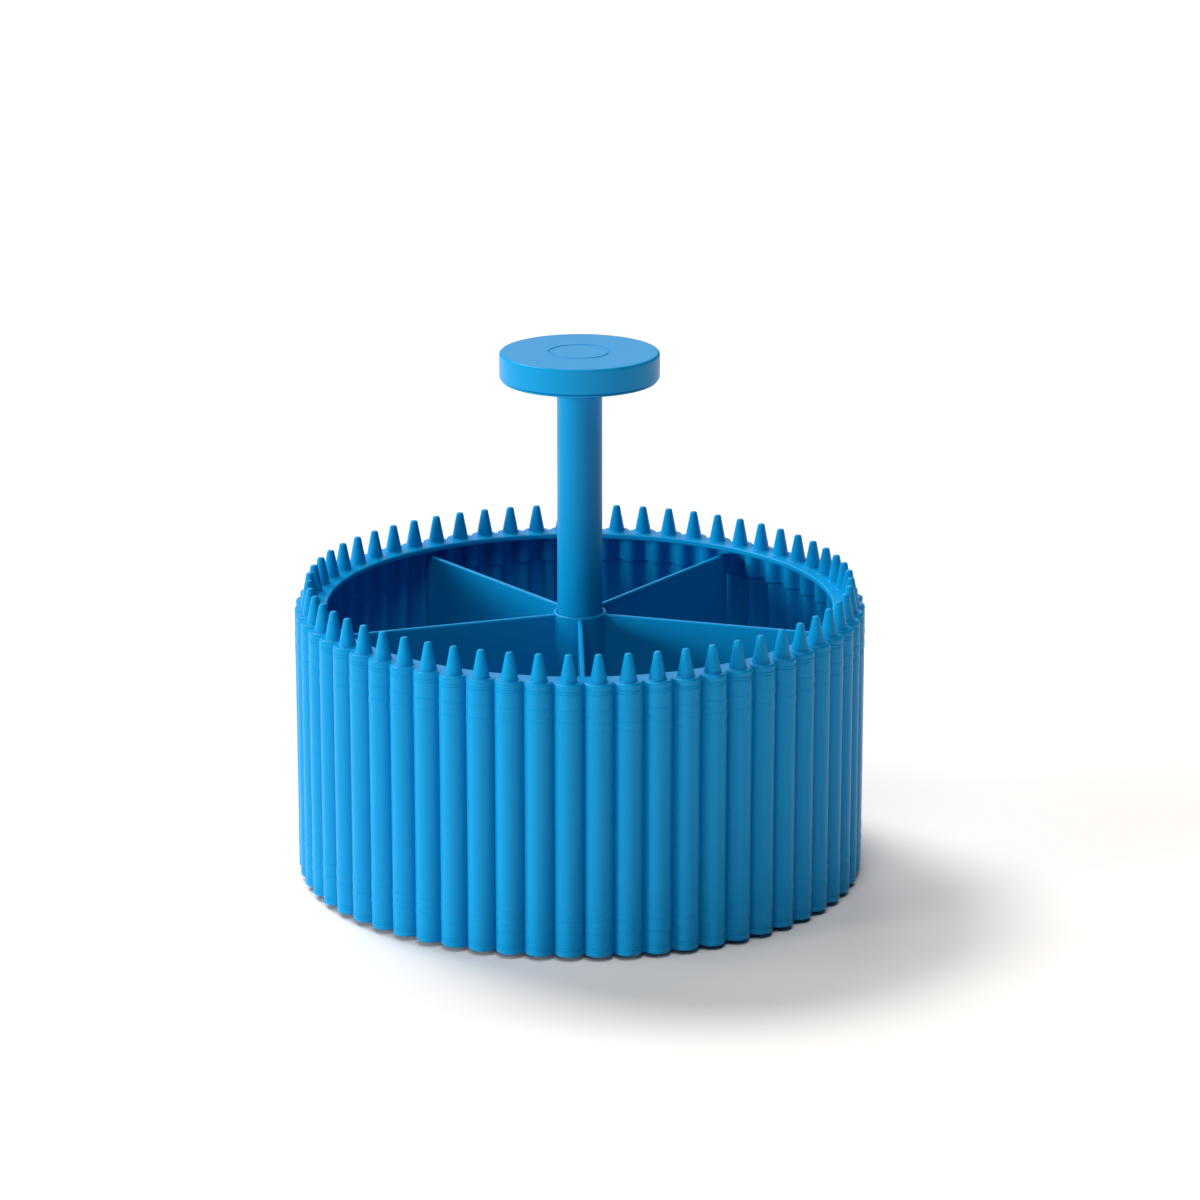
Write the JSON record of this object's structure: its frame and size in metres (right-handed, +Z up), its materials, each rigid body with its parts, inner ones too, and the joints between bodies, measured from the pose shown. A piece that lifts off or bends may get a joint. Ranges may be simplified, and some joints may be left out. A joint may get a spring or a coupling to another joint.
{
  "type": "rotating desk organiser",
  "caption": "Rotating round desk organiser: crayon-ribbed drum with pointed tips, radial dividers, centre post and disc knob, turning on a ball-race base.",
  "frame": {"origin": "on the turning axis, at the level the feet stand on", "axes": "+Z up along the turning axis; -Y is the front, where one divider points"},
  "size_m": [0.2402, 0.2402, 0.2252],
  "materials": {
    "blue_plastic": "satin moulded polypropylene",
    "grey_plastic": "satin moulded",
    "acetal": "satin",
    "steel": "zinc plated",
    "rubber": "matt"
  },
  "bodies": {
    "base": {"base_disc": "grey_plastic", "foot_1": "rubber", "foot_2": "rubber", "foot_3": "rubber", "foot_4": "rubber", "foot_5": "rubber", "foot_6": "rubber"},
    "cage": {"ball_cage": "acetal", "ball_01": "steel", "ball_02": "steel", "ball_03": "steel", "ball_04": "steel", "ball_05": "steel", "ball_06": "steel", "ball_07": "steel", "ball_08": "steel", "ball_09": "steel", "ball_10": "steel", "ball_11": "steel", "ball_12": "steel"},
    "drum": {"crayon_ring": "blue_plastic", "divider_tray": "blue_plastic", "post_tube": "blue_plastic", "knob_cap": "blue_plastic", "knob_plate": "blue_plastic", "tie_rod": "steel", "knob_nut": "steel", "lock_nut": "steel", "thrust_washer": "steel", "pivot_sleeve": "acetal"}
  },
  "joints": [
    {"name": "drum_spin", "type": "hinge", "parent": "base", "child": "drum", "pos_m": [0, 0, 0.0066], "axis": [0, 0, 1], "continuous": true},
    {"name": "cage_spin", "type": "hinge", "parent": "base", "child": "cage", "pos_m": [0, 0, 0.0066], "axis": [0, 0, 1], "continuous": true}
  ],
  "couplings": [
    {"joint": "cage_spin", "follows": "drum_spin", "ratio": 0.5}
  ]
}
